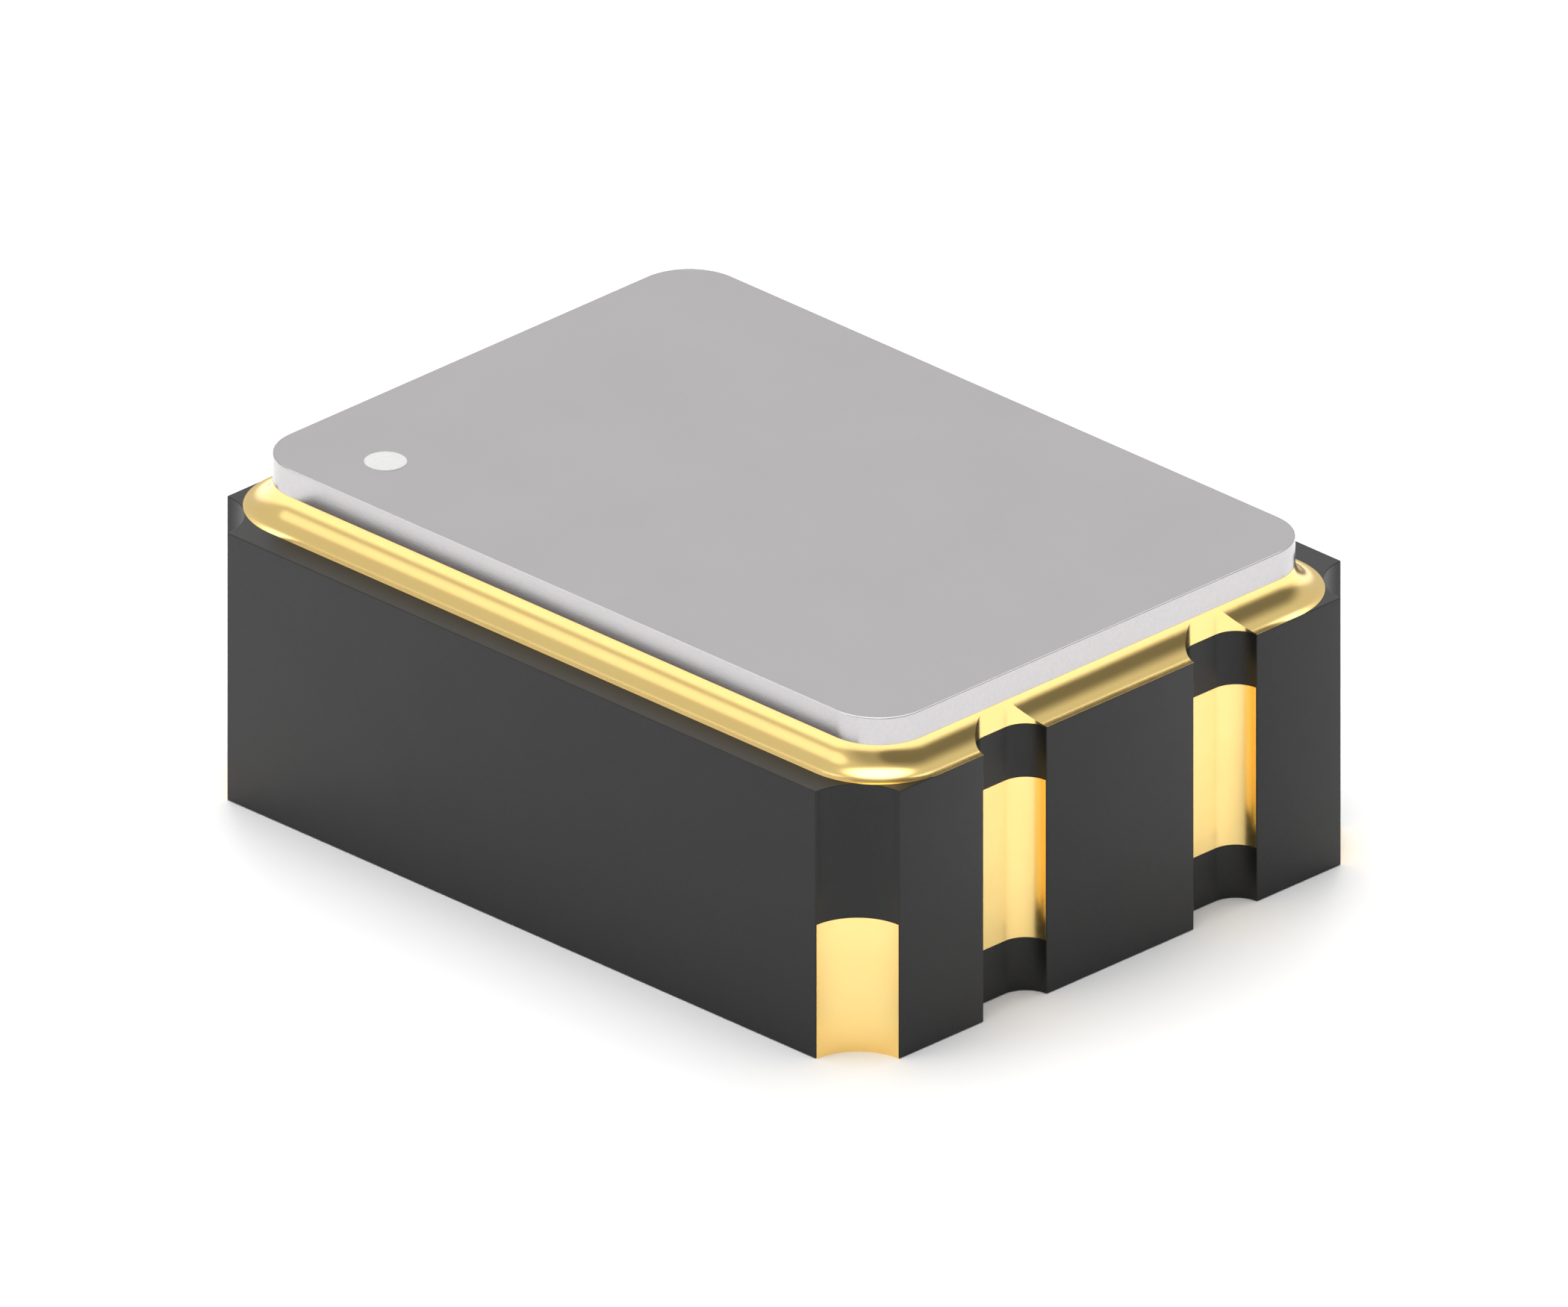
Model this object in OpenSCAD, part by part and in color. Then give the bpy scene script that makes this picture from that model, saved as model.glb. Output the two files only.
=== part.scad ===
// Surface-mount crystal oscillator in a co-fired ceramic package of 3.2 by 2.5 by 1.2 mm.
// Origin at the middle of the seating plane, +X along the package, +Z up through the lid.
// Terminal 1 is at -X -Y, and the numbers run counter-clockwise as seen from above.

/* [Package] */
// Length of the ceramic body, along X
package_length = 3.2; // [3.1:0.05:3.4]
// Width of the ceramic body, along Y
package_width = 2.5; // [2.4:0.05:2.7]

/* [Ceramic layers] */
// Thickness of the base layer, which carries the circuit die
base_layer = 0.2; // [0.15:0.01:0.3]
// Thickness of the layer round the die, with the bonding shelf on top
die_layer = 0.3; // [0.2:0.01:0.35]
// Thickness of the layer whose top is the crystal's shelf
shelf_layer = 0.3; // [0.25:0.01:0.4]
// Thickness of the layer that walls in the crystal
wall_layer = 0.2; // [0.18:0.01:0.3]

/* [Cavities] */
// Thickness of the wall at each end of the crystal's cavity
end_wall = 0.35; // [0.3:0.01:0.4]
// Thickness of the wall on each long side of the crystal's cavity
side_wall = 0.45; // [0.42:0.01:0.5]
// Radius in the corners of each cavity
cavity_corner = 0.1; // [0.05:0.01:0.15]
// Reach of the crystal's shelf from the -X wall of its cavity
crystal_shelf = 0.45; // [0.42:0.01:0.5]
// Clearance between the circuit die and each wall of its pocket
die_clearance = 0.15; // [0.1:0.01:0.16]

/* [Castellations] */
// Radius of the quarter-round notch down each corner
corner_notch = 0.2; // [0.15:0.01:0.22]
// Width of each notch in the short sides
side_notch_width = 0.3; // [0.25:0.01:0.35]
// Depth of each notch in the short sides
side_notch_depth = 0.1; // [0.08:0.01:0.12]
// Distance between the two notches of one short side
side_notch_spacing = 1; // [0.9:0.02:1.1]

/* [Conductors] */
// Thickness of all co-fired metal, flush in the ceramic
metal_thickness = 0.01; // [0.008:0.001:0.02]
// Length of each solder pad, along X
pad_length = 0.9; // [0.7:0.05:1.1]
// Width of each solder pad, along Y
pad_width = 0.7; // [0.5:0.05:0.9]
// Bare margin between a solder pad and the edges of the package
pad_margin = 0.15; // [0.13:0.01:0.17]
// Width of the tongue that ties a solder pad to its corner castellation
pad_tongue = 0.2; // [0.1:0.01:0.24]
// Width of the buried tracks
track_width = 0.1; // [0.06:0.01:0.12]
// Distance from the crystal cavity's wall to the middle of the outer tracks
track_cover = 0.15; // [0.12:0.01:0.2]
// Width of each bonding finger
finger_width = 0.16; // [0.12:0.01:0.18]
// Distance between neighbouring bonding fingers
finger_spacing = 0.3; // [0.28:0.01:0.32]
// Bare shelf at both ends of a bonding finger
finger_margin = 0.03; // [0.01:0.01:0.05]
// Length of each crystal mounting pad, along X
mount_pad_length = 0.36; // [0.3:0.02:0.38]
// Width of each crystal mounting pad, along Y
mount_pad_width = 0.42; // [0.34:0.02:0.46]
// Bare shelf between each mounting pad and the end wall
mount_pad_end = 0.04; // [0.02:0.01:0.06]
// Bare shelf between each mounting pad and the side wall
mount_pad_side = 0.14; // [0.12:0.01:0.16]
// Diameter of the column that earths the lid
earth_column = 0.1; // [0.06:0.01:0.16]
// Distance from the +X wall of the crystal's cavity to the middle of that column
earth_column_inset = 0.35; // [0.2:0.05:0.6]

/* [Seal] */
// Bare ceramic ledge beside the braze on each long side
seal_ledge = 0.1; // [0.05:0.01:0.12]
// Size of the braze's concave fillet, the same outwards and upwards
fillet_size = 0.1; // [0.07:0.01:0.1]
// Thickness of the fillet's two edges, where the braze ends
fillet_edge = 0.002; // [0.001:0.001:0.006]
// Angle at which the braze meets the metal it has wetted, in degrees
contact_angle = 5; // [3:1:15]
// Thickness of the braze under the seal ring
braze_layer = 0.01; // [0.01:0.005:0.03]
// Height of the seal ring
ring_height = 0.09; // [0.09:0.01:0.15]
// Width of the seal ring's band
ring_band = 0.2; // [0.15:0.01:0.22]
// Radius of the outer corners of the seal ring and the lid
ring_corner = 0.2; // [0.17:0.01:0.22]
// Thickness of the lid
lid_thickness = 0.1; // [0.08:0.01:0.15]

/* [Circuit] */
// Length of the silicon die
die_length = 0.9; // [0.8:0.02:0.98]
// Width of the silicon die
die_width = 0.7; // [0.6:0.02:0.8]
// Thickness of the silicon die
die_thickness = 0.2; // [0.15:0.01:0.22]
// Thickness of the adhesive film under the die
die_film = 0.02; // [0.01:0.005:0.04]
// Side of each square bond pad on the die
bond_pad = 0.08; // [0.07:0.005:0.09]
// Bare margin between the outer bond pads and the ends of the die
bond_pad_end = 0.08; // [0.02:0.01:0.12]
// Bare margin between the bond pads and the long sides of the die
bond_pad_side = 0.02; // [0.01:0.005:0.05]

/* [Bond wires] */
// Diameter of the gold wire
wire = 0.025; // [0.018:0.001:0.03]
// Diameter of the ball bond
ball = 0.06; // [0.05:0.002:0.065]
// Height of the wire's loop above the die
loop_height = 0.17; // [0.15:0.01:0.2]

/* [Crystal] */
// Clearance between the quartz blank's held end and the cavity's wall
held_clearance = 0.12; // [0.08:0.01:0.14]
// Clearance between the blank's free end and the cavity's wall
free_clearance = 0.18; // [0.1:0.01:0.25]
// Clearance between the blank and each side wall of the cavity
side_clearance = 0.15; // [0.1:0.01:0.16]
// Thickness of the quartz blank, which sets the frequency
blank_thickness = 0.07; // [0.04:0.005:0.1]
// Bare quartz between the held end and each electrode's main field
electrode_held_margin = 0.57; // [0.45:0.01:0.7]
// Bare quartz between the free end and each electrode's main field
electrode_free_margin = 0.33; // [0.1:0.01:0.4]
// Bare quartz on each side of an electrode's main field
electrode_side_margin = 0.225; // [0.1:0.025:0.3]
// Thickness of the electrode metal
electrode = 0.004; // [0.002:0.001:0.006]
// Width of the tab that leads from an electrode to its mounting pad
tab_width = 0.34; // [0.32:0.01:0.4]
// Diameter of each dot of conductive adhesive
dot = 0.3; // [0.24:0.01:0.3]
// Height of each dot of conductive adhesive
dot_height = 0.04; // [0.02:0.005:0.06]

/* [Hidden] */
$fn = 96;

// Colours of the fired ceramic and of each metal
ceramic_colour = "#474747";
gold_colour = "#D8BC78";
nickel_colour = "#B9B7B7";
silver_colour = "#C9CACC";
silicon_colour = "#5A6272";
aluminium_colour = "#D5D7DA";
quartz_colour = "#DCE6EA";
resin_colour = "#E2D9C4";

// Heights of the layers' top faces above the seating plane
base_top = base_layer;
die_layer_top = base_top + die_layer;
shelf_top = die_layer_top + shelf_layer;
ceramic_top = shelf_top + wall_layer;
ring_bottom = ceramic_top + braze_layer;
ring_top = ring_bottom + ring_height;
lid_top = ring_top + lid_thickness;

// Places across the package
half_length = package_length / 2;
half_width = package_width / 2;
cavity_end = half_length - end_wall;
cavity_side = half_width - side_wall;
cavity_size = 2 * [cavity_end, cavity_side];
shelf_edge = crystal_shelf - cavity_end;
side_notch_y = side_notch_spacing / 2;
// The die stands in the middle of the opening beside the crystal's shelf
die_x = (shelf_edge + cavity_end) / 2;
die_pocket = [die_length, die_width] + 2 * die_clearance * [1, 1];

// Overshoot of cutting tools past the faces they cut, and the bare rim round the sealing metal
past = 0.1;
seal_rim = 0.02;
// Notch tool for the braze, which cuts just past the ring's wall
notch_past = 0.003;

// Outlines of the sealing parts
braze_size = [package_length, package_width - 2 * seal_ledge];
ring_size = braze_size - 2 * fillet_size * [1, 1];
ring_opening = ring_size - 2 * ring_band * [1, 1];
ring_opening_corner = ring_corner / 2;
// Reach of the braze's root, the layer under the ring, beneath the fillet
fillet_root = fillet_size * 2 / 5;

// Bonding fingers stand on the shelf between the die's pocket and the wall of the crystal's cavity
finger_start = die_pocket[1] / 2 + finger_margin;
finger_end = cavity_side - finger_margin;
finger_middle = (finger_start + finger_end) / 2;
outer_track_y = cavity_side + track_cover;
// Length of the sloped run where a track leaves its castellation
track_lead = 0.15;
// Reach of a solder pad's tongue, which ends inside the pad
tongue_reach = pad_margin * 3 / 2;
// Corners and sides of the package in the order of the terminals' numbers
CORNERS = [[-1, -1], [1, -1], [1, 1], [-1, 1]];
SIDES = [-1, 1];

// Heights and places of the parts stacked on the die's pocket
die_bottom = base_top + die_film;
die_top = die_bottom + die_thickness;
bond_pad_thickness = 0.004;
bond_pad_top = die_top + bond_pad_thickness;
bond_pad_pitch = (die_length - 2 * bond_pad_end - bond_pad) / 3;
bond_pad_y = die_width / 2 - bond_pad_side - bond_pad / 2;
// Bare rim of the pocket's floor round the die pad, and reach of the adhesive film past the die
die_pad_rim = 0.05;
film_rim = 0.02;

// Heights and places of the parts that hold the crystal
tab_bottom = shelf_top + dot_height;
blank_bottom = tab_bottom + electrode;
blank_top = blank_bottom + blank_thickness;
blank_start = held_clearance - cavity_end;
blank_end = cavity_end - free_clearance;
blank_side = cavity_side - side_clearance;
mount_pad_x = mount_pad_end + mount_pad_length / 2 - cavity_end;
mount_pad_y = cavity_side - mount_pad_side - mount_pad_width / 2;
electrode_start = blank_start + electrode_held_margin;
electrode_end = blank_end - electrode_free_margin;
electrode_side = blank_side - electrode_side_margin;
// Reach of the top electrode's folded tab past its adhesive dot
tab_past = 0.01;

// Shapes shared by several parts

// Rectangle centred on the origin with rounded corners
module rounded_outline(size, corner) {
    square([size[0] - 2 * corner, size[1]], center = true);
    square([size[0], size[1] - 2 * corner], center = true);
    for (x = SIDES, y = SIDES)
        translate([x * (size[0] / 2 - corner), y * (size[1] / 2 - corner)])
            circle(r = corner);
}

module rounded_plate(size, corner, bottom, top) {
    translate([0, 0, bottom])
        linear_extrude(top - bottom)
            rounded_outline(size, corner);
}

// Plain block between two corners
module block(low, high) {
    translate(low)
        cube(high - low);
}

function unit(v) = v / norm(v);
function left_of(v) = [-v[1], v[0]];

// Step from point i of a path to its left edge, mitred so that the width holds through a bend
function edge_step(path, i, width) =
    let (last = len(path) - 1,
         before = left_of(unit(path[max(i, 1)] - path[max(i, 1) - 1])),
         after = left_of(unit(path[min(i, last - 1) + 1] - path[min(i, last - 1)])),
         middle = unit(before + after))
    middle * (width / 2) / (middle * before);

// Band of one width along a path, from the height top down
module track(path, width, top, depth = metal_thickness) {
    last = len(path) - 1;
    left = [for (i = [0:last]) path[i] + edge_step(path, i, width)];
    right = [for (i = [last:-1:0]) path[i] - edge_step(path, i, width)];
    translate([0, 0, top - depth])
        linear_extrude(depth)
            polygon(concat(left, right));
}

// Rectangular field of metal, from the height top down
module field(middle, size, top, depth = metal_thickness) {
    translate([middle[0] - size[0] / 2, middle[1] - size[1] / 2, top - depth])
        cube([size[0], size[1], depth]);
}

// Body of fired ceramic before its cavities and notches
module package_block() {
    block([-half_length, -half_width, 0], [half_length, half_width, ceramic_top]);
}

module corner_notches() {
    for (corner = CORNERS)
        translate([corner[0] * half_length, corner[1] * half_width, -past])
            cylinder(r = corner_notch, h = ceramic_top + 2 * past);
}

// One notch of a short side, centred on the side's face and grown by an even margin
module side_notch(grow, bottom, top) {
    flat = side_notch_width - 2 * side_notch_depth;
    radius = side_notch_depth + grow;
    translate([0, 0, bottom])
        linear_extrude(top - bottom) {
            square([2 * radius, flat], center = true);
            for (y = SIDES)
                translate([0, y * flat / 2])
                    circle(r = radius);
        }
}

module side_notches(grow, bottom, top) {
    for (corner = CORNERS)
        translate([corner[0] * half_length, corner[1] * side_notch_y, 0])
            side_notch(grow, bottom, top);
}

module notches() {
    corner_notches();
    side_notches(0, -past, lid_top);
}

// Stepped cavity: the die's pocket, the opening past the crystal's shelf, and the crystal's cavity
module cavities() {
    opening = [cavity_end - shelf_edge, cavity_size[1]];
    translate([die_x, 0, 0]) {
        rounded_plate(die_pocket, cavity_corner, base_top, die_layer_top + past);
        rounded_plate(opening, cavity_corner, die_layer_top, shelf_top + past);
    }
    rounded_plate(cavity_size, cavity_corner, shelf_top, ceramic_top + past);
}

// Co-fired conductors, each as the seat it takes up in the ceramic

// Solder pad, corner castellation and buried track to the inner bonding finger
module terminal_seat(corner) {
    x = corner[0];
    y = corner[1];
    finger_x = die_x + x * finger_spacing / 2;
    pad_x = half_length - pad_margin - pad_length / 2;
    pad_y = half_width - pad_margin - pad_width / 2;
    tongue = [
        [x * half_length, y * half_width],
        [x * (half_length - tongue_reach), y * (half_width - tongue_reach)]
    ];
    slope = half_width - outer_track_y;
    path = [
        [x * half_length, y * half_width],
        [x * (half_length - slope), y * outer_track_y],
        [finger_x, y * outer_track_y],
        [finger_x, y * finger_middle]
    ];
    field([x * pad_x, y * pad_y], [pad_length, pad_width], metal_thickness, past + metal_thickness);
    track(tongue, pad_tongue, metal_thickness, past + metal_thickness);
    translate([x * half_length, y * half_width, -past])
        cylinder(r = corner_notch + metal_thickness, h = past + die_layer_top);
    track(path, track_width, die_layer_top);
    field([finger_x, y * finger_middle], [finger_width, finger_end - finger_start], die_layer_top);
}

// Side castellation and buried track to the outer bonding finger
module side_contact_seat(corner) {
    x = corner[0];
    y = corner[1];
    finger_x = die_x + x * finger_spacing * 3 / 2;
    bend_x = half_length - side_notch_depth - track_lead;
    slope = abs(finger_middle - side_notch_y);
    path = [
        [x * half_length, y * side_notch_y],
        [x * bend_x, y * side_notch_y],
        [x * (bend_x - slope), y * finger_middle],
        [finger_x, y * finger_middle]
    ];
    translate([x * half_length, y * side_notch_y, 0])
        side_notch(metal_thickness, base_top, shelf_top);
    track(path, track_width, die_layer_top);
    field([finger_x, y * finger_middle], [finger_width, finger_end - finger_start], die_layer_top);
}

// Mounting pad of the crystal and its track from the side castellation.
// A short band joins the two where they don't line up.
module mount_pad_seat(side) {
    path = [[-half_length, side * side_notch_y], [mount_pad_x, side * side_notch_y]];
    band_middle = (side_notch_y + mount_pad_y) / 2;
    band_length = abs(side_notch_y - mount_pad_y) + track_width;
    track(path, track_width, shelf_top);
    field([mount_pad_x, side * band_middle], [track_width, band_length], shelf_top);
    field([mount_pad_x, side * mount_pad_y], [mount_pad_length, mount_pad_width], shelf_top);
}

// Column through the wall that ties the seal ring and the lid to ground
module earth_column_seat() {
    bottom = die_layer_top - metal_thickness / 2;
    top = ceramic_top - metal_thickness;
    translate([cavity_end - earth_column_inset, -outer_track_y, bottom])
        cylinder(d = earth_column, h = top - bottom);
}

module die_pad_seat() {
    field([die_x, 0], die_pocket - 2 * die_pad_rim * [1, 1], base_top);
}

// Frame of metal under the braze, set in from its edges
module seal_seat() {
    outer = braze_size - 2 * seal_rim * [1, 1];
    inner = cavity_size + 2 * seal_rim * [1, 1];
    corner = ring_corner + fillet_size - seal_rim;
    difference() {
        rounded_plate(outer, corner, ceramic_top - metal_thickness, ceramic_top + past);
        rounded_plate(inner, cavity_corner + seal_rim, ceramic_top - past, ceramic_top + 2 * past);
        side_notches(seal_rim, ceramic_top - past, lid_top);
    }
}

// A conductor is its seat, trimmed to the ceramic's own faces
module fired_metal() {
    color(gold_colour)
        difference() {
            intersection() {
                package_block();
                union()
                    children();
            }
            notches();
        }
}

module ceramic_body() {
    color(ceramic_colour)
        difference() {
            package_block();
            notches();
            cavities();
            for (corner = CORNERS) {
                terminal_seat(corner);
                side_contact_seat(corner);
            }
            for (side = SIDES)
                mount_pad_seat(side);
            earth_column_seat();
            die_pad_seat();
            seal_seat();
        }
}

module terminal(number) {
    fired_metal()
        terminal_seat(CORNERS[number - 1]);
}

module ground_terminal() {
    fired_metal() {
        terminal_seat(CORNERS[1]);
        earth_column_seat();
    }
}

module crystal_contact(side) {
    fired_metal() {
        side_contact_seat([-1, side]);
        mount_pad_seat(side);
    }
}

module program_contact(side) {
    fired_metal()
        side_contact_seat([1, side]);
}

module die_pad() {
    fired_metal()
        die_pad_seat();
}

module seal_metallisation() {
    fired_metal()
        seal_seat();
}

// Oscillator circuit

module die_attach_film() {
    size = [die_length, die_width] + 2 * film_rim * [1, 1];
    color(resin_colour)
        translate([die_x - size[0] / 2, -size[1] / 2, base_top])
            cube([size[0], size[1], die_film]);
}

module oscillator_die() {
    color(silicon_colour)
        translate([die_x - die_length / 2, -die_width / 2, die_bottom])
            cube([die_length, die_width, die_thickness]);
}

// Place of bond n on the die and on its finger, numbered 0 to 3 along each long side
function bond_step(n) = n % 4 - 3 / 2;
function bond_side(n) = n < 4 ? -1 : 1;

module die_bond_pads() {
    color(aluminium_colour)
        for (n = [0:7])
            translate([
                die_x + bond_step(n) * bond_pad_pitch - bond_pad / 2,
                bond_side(n) * bond_pad_y - bond_pad / 2,
                die_top
            ])
                cube([bond_pad, bond_pad, bond_pad_thickness]);
}

// Point on a cubic curve with the four control points p, and the direction there
function curve_point(p, t) =
    p[0] * pow(1 - t, 3) + p[1] * 3 * t * pow(1 - t, 2) + p[2] * 3 * t * t * (1 - t) + p[3] * pow(t, 3);
function curve_way(p, t) =
    unit((p[1] - p[0]) * pow(1 - t, 2) + (p[2] - p[1]) * 2 * t * (1 - t) + (p[3] - p[2]) * t * t);

// Number of flats round a wire and of steps along its loop
wire_sides = 12;
loop_steps = 14;
// Half thickness, half width and length of the stitch, where the wire is pressed flat
stitch_half = wire / 6;
stitch_half_width = wire * 3 / 4;
stitch_length = wire * 2;
// Share of the loop at which the flattening starts
press_start = 5 / 6;
// Pull of the loop's curve: upwards over the neck, and back from the heel
neck_pull = 5 / 4;
heel_pull = 1 / 3;
// Ball bond: its height, and its profile as shares of that height and of its diameter
ball_height = ball / 3;
BALL = [[0, 0.82], [0.15, 1], [0.6, 1], [0.85, 0.7]];

// Ring of points round a centre: across lies flat, over lies in the wire's own upright plane
function ring_points(centre, across, over, half_across, half_over) = [
    for (k = [0:wire_sides - 1])
        let (angle = (k + 0.5) * 360 / wire_sides, grow = 1 / cos(180 / wire_sides))
        centre + across * half_across * grow * cos(angle) + over * half_over * grow * sin(angle)
];

// Closed skin over a list of rings, with a flat cap at each end
module skin(rings) {
    sides = len(rings[0]);
    last = len(rings) - 1;
    points = [for (ring = rings) each ring];
    walls = [
        for (i = [0:last - 1], k = [0:sides - 1])
            let (a = i * sides + k, b = i * sides + (k + 1) % sides)
            each [[a, a + sides, b + sides], [a, b + sides, b]]
    ];
    caps = [[for (k = [0:sides - 1]) k], [for (k = [sides - 1:-1:0]) last * sides + k]];
    polyhedron(points, concat(walls, caps));
}

// Gold wire from the ball on the die's pad, over its loop, to the stitch on the finger
module bond_wire(number) {
    n = number - 1;
    from = [die_x + bond_step(n) * bond_pad_pitch, bond_side(n) * bond_pad_y, bond_pad_top];
    to = [die_x + bond_step(n) * finger_spacing, bond_side(n) * finger_middle, die_layer_top];
    flat = [to[0] - from[0], to[1] - from[1], 0];
    way = unit(flat);
    across = [-way[1], way[0], 0];
    up = [0, 0, 1];
    neck = from + up * ball_height;
    heel = to + up * stitch_half;
    crest = die_top + loop_height;
    p = [
        neck,
        neck + up * (crest - neck[2]) * neck_pull,
        heel - way * norm(flat) * heel_pull + up * (crest - heel[2]),
        heel
    ];
    ball_rings = [
        for (step = BALL)
            let (radius = ball / 2 * step[1])
            ring_points(from + up * ball_height * step[0], across, -way, radius, radius)
    ];
    loop_rings = [
        for (i = [0:loop_steps])
            let (
                t = i / loop_steps,
                tangent = curve_way(p, t),
                over = cross(tangent, across),
                press = max(0, t - press_start) / (1 - press_start),
                half_over = wire / 2 + (stitch_half - wire / 2) * press,
                half_across = wire / 2 + (stitch_half_width - wire / 2) * press
            )
            ring_points(curve_point(p, t), across, over, half_across, half_over)
    ];
    toe_ring = ring_points(heel + way * stitch_length, across, up, stitch_half_width, stitch_half);
    color(gold_colour)
        skin(concat(ball_rings, loop_rings, [toe_ring]));
}

// Crystal

// The dot has slumped a little, so that it is widest at its foot
module adhesive_dot(side) {
    color(silver_colour)
        translate([mount_pad_x, side * mount_pad_y, shelf_top])
            cylinder(d1 = dot + dot_height / 2, d2 = dot, h = dot_height);
}

module quartz_blank() {
    color(quartz_colour)
        block([blank_start, -blank_side, blank_bottom], [blank_end, blank_side, blank_top]);
}

// Main field of an electrode with its tab to the held end of the blank
module electrode_face(side, bottom) {
    low = side * mount_pad_y - tab_width / 2;
    high = low + tab_width;
    top = bottom + electrode;
    block([electrode_start, -electrode_side, bottom], [electrode_end, electrode_side, top]);
    block([blank_start, low, bottom], [electrode_start + tab_past, high, top]);
}

module electrode_bottom() {
    color(silver_colour)
        electrode_face(-1, tab_bottom);
}

// The top electrode's tab folds round the end of the blank, down to its adhesive dot
module electrode_top() {
    low = mount_pad_y - tab_width / 2;
    high = low + tab_width;
    fold = blank_start - electrode;
    color(silver_colour) {
        electrode_face(1, blank_top);
        block([fold, low, tab_bottom], [blank_start, high, blank_top + electrode]);
        block([fold, low, tab_bottom], [mount_pad_x + dot / 2 + tab_past, high, blank_bottom]);
    }
}

// Seal and lid

// Section of the braze outside the ring's wall, with its hollow face an arc
module fillet_section() {
    slope = tan(contact_angle);
    back = fillet_size * slope / (1 - slope);
    difference() {
        square(fillet_size);
        translate([fillet_size + back, fillet_size + back])
            circle(r = norm([back, fillet_size + back - fillet_edge]));
    }
}

// One quarter of the fillet: half a long run, a corner and half a short run
module fillet_quarter() {
    run = ring_size / 2 - ring_corner * [1, 1];
    translate([run[0], run[1], 0])
        rotate_extrude(angle = 90)
            translate([ring_corner, 0])
                fillet_section();
    translate([0, run[1] + ring_corner, 0])
        rotate([90, 0, 90])
            linear_extrude(run[0])
                fillet_section();
    translate([run[0] + ring_corner, run[1], 0])
        rotate([90, 0, 0])
            linear_extrude(run[1])
                fillet_section();
}

// The whole fillet, with the root that joins it to the braze under the ring
module fillet() {
    translate([0, 0, ceramic_top])
        for (x = [0, 1], y = [0, 1])
            mirror([x, 0, 0])
                mirror([0, y, 0])
                    fillet_quarter();
    rounded_plate(ring_size + 2 * fillet_root * [1, 1], ring_corner + fillet_root, ceramic_top, ring_bottom);
}

module braze_fillet() {
    color(gold_colour)
        difference() {
            union() {
                difference() {
                    fillet();
                    side_notches(fillet_size - side_notch_depth + notch_past, ceramic_top - past, lid_top);
                }
                rounded_plate(ring_size, ring_corner, ceramic_top, ring_bottom);
            }
            rounded_plate(ring_opening, ring_opening_corner, ceramic_top - past, ring_bottom + past);
        }
}

module seal_ring() {
    color(gold_colour)
        difference() {
            rounded_plate(ring_size, ring_corner, ring_bottom, ring_top);
            rounded_plate(ring_opening, ring_opening_corner, ring_bottom - past, ring_top + past);
        }
}

module lid() {
    color(nickel_colour)
        rounded_plate(ring_size, ring_corner, ring_top, lid_top);
}

ceramic_body();
terminal(1);  // terminal_1_enable
ground_terminal();  // terminal_2_ground
terminal(3);  // terminal_3_output
terminal(4);  // terminal_4_supply
crystal_contact(-1);  // crystal_contact_1
crystal_contact(1);  // crystal_contact_2
program_contact(-1);  // program_contact_1
program_contact(1);  // program_contact_2
die_pad();
die_attach_film();
oscillator_die();
die_bond_pads();
bond_wire(1);  // bond_wire_1
bond_wire(2);  // bond_wire_2
bond_wire(3);  // bond_wire_3
bond_wire(4);  // bond_wire_4
bond_wire(5);  // bond_wire_5
bond_wire(6);  // bond_wire_6
bond_wire(7);  // bond_wire_7
bond_wire(8);  // bond_wire_8
adhesive_dot(-1);  // adhesive_dot_1
adhesive_dot(1);  // adhesive_dot_2
electrode_bottom();
quartz_blank();
electrode_top();
seal_metallisation();
braze_fillet();
seal_ring();
lid();
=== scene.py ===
import bpy
import numpy as np
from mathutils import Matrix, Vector
from mathutils.geometry import tessellate_polygon


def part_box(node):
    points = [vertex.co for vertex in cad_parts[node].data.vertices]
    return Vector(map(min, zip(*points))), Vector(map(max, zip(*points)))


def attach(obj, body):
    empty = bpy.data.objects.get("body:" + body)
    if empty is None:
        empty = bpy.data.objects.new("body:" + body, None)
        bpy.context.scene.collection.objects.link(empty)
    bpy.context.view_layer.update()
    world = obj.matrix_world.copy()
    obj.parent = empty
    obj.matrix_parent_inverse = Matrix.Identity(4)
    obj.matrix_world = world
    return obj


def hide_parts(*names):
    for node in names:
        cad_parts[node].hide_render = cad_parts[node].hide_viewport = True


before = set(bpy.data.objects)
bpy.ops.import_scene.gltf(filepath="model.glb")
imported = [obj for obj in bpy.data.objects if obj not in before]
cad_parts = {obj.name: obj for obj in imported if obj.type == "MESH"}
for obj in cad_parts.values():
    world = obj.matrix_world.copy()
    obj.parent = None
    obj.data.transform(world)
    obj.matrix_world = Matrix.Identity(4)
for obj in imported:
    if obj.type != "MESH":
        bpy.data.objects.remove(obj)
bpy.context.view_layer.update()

# Sizes are in millimetres. They become metres where a mesh, a place or a pattern is made.
MM = 0.001


def cad_box(node):
    """Lowest and highest corner of a CAD node, in millimetres."""
    return np.array([list(corner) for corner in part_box(node)]) / MM


# Sizes read from the frame
CERAMIC = cad_box("ceramic_body")
HALF = CERAMIC[1, :2]
BOTTOM, CERAMIC_TOP = CERAMIC[:, 2]
BASE_TOP, SHELF_TOP = cad_box("program_contact_1")[:, 2]
DIE_LAYER_TOP = cad_box("terminal_1_enable")[1, 2]
LID_BOTTOM, LID_TOP = cad_box("lid")[:, 2]
RING_HALF = cad_box("lid")[1, :2]
RING_BOTTOM = cad_box("seal_ring")[0, 2]
EARTH_COLUMN_TOP = cad_box("terminal_2_ground")[1, 2]

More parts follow.
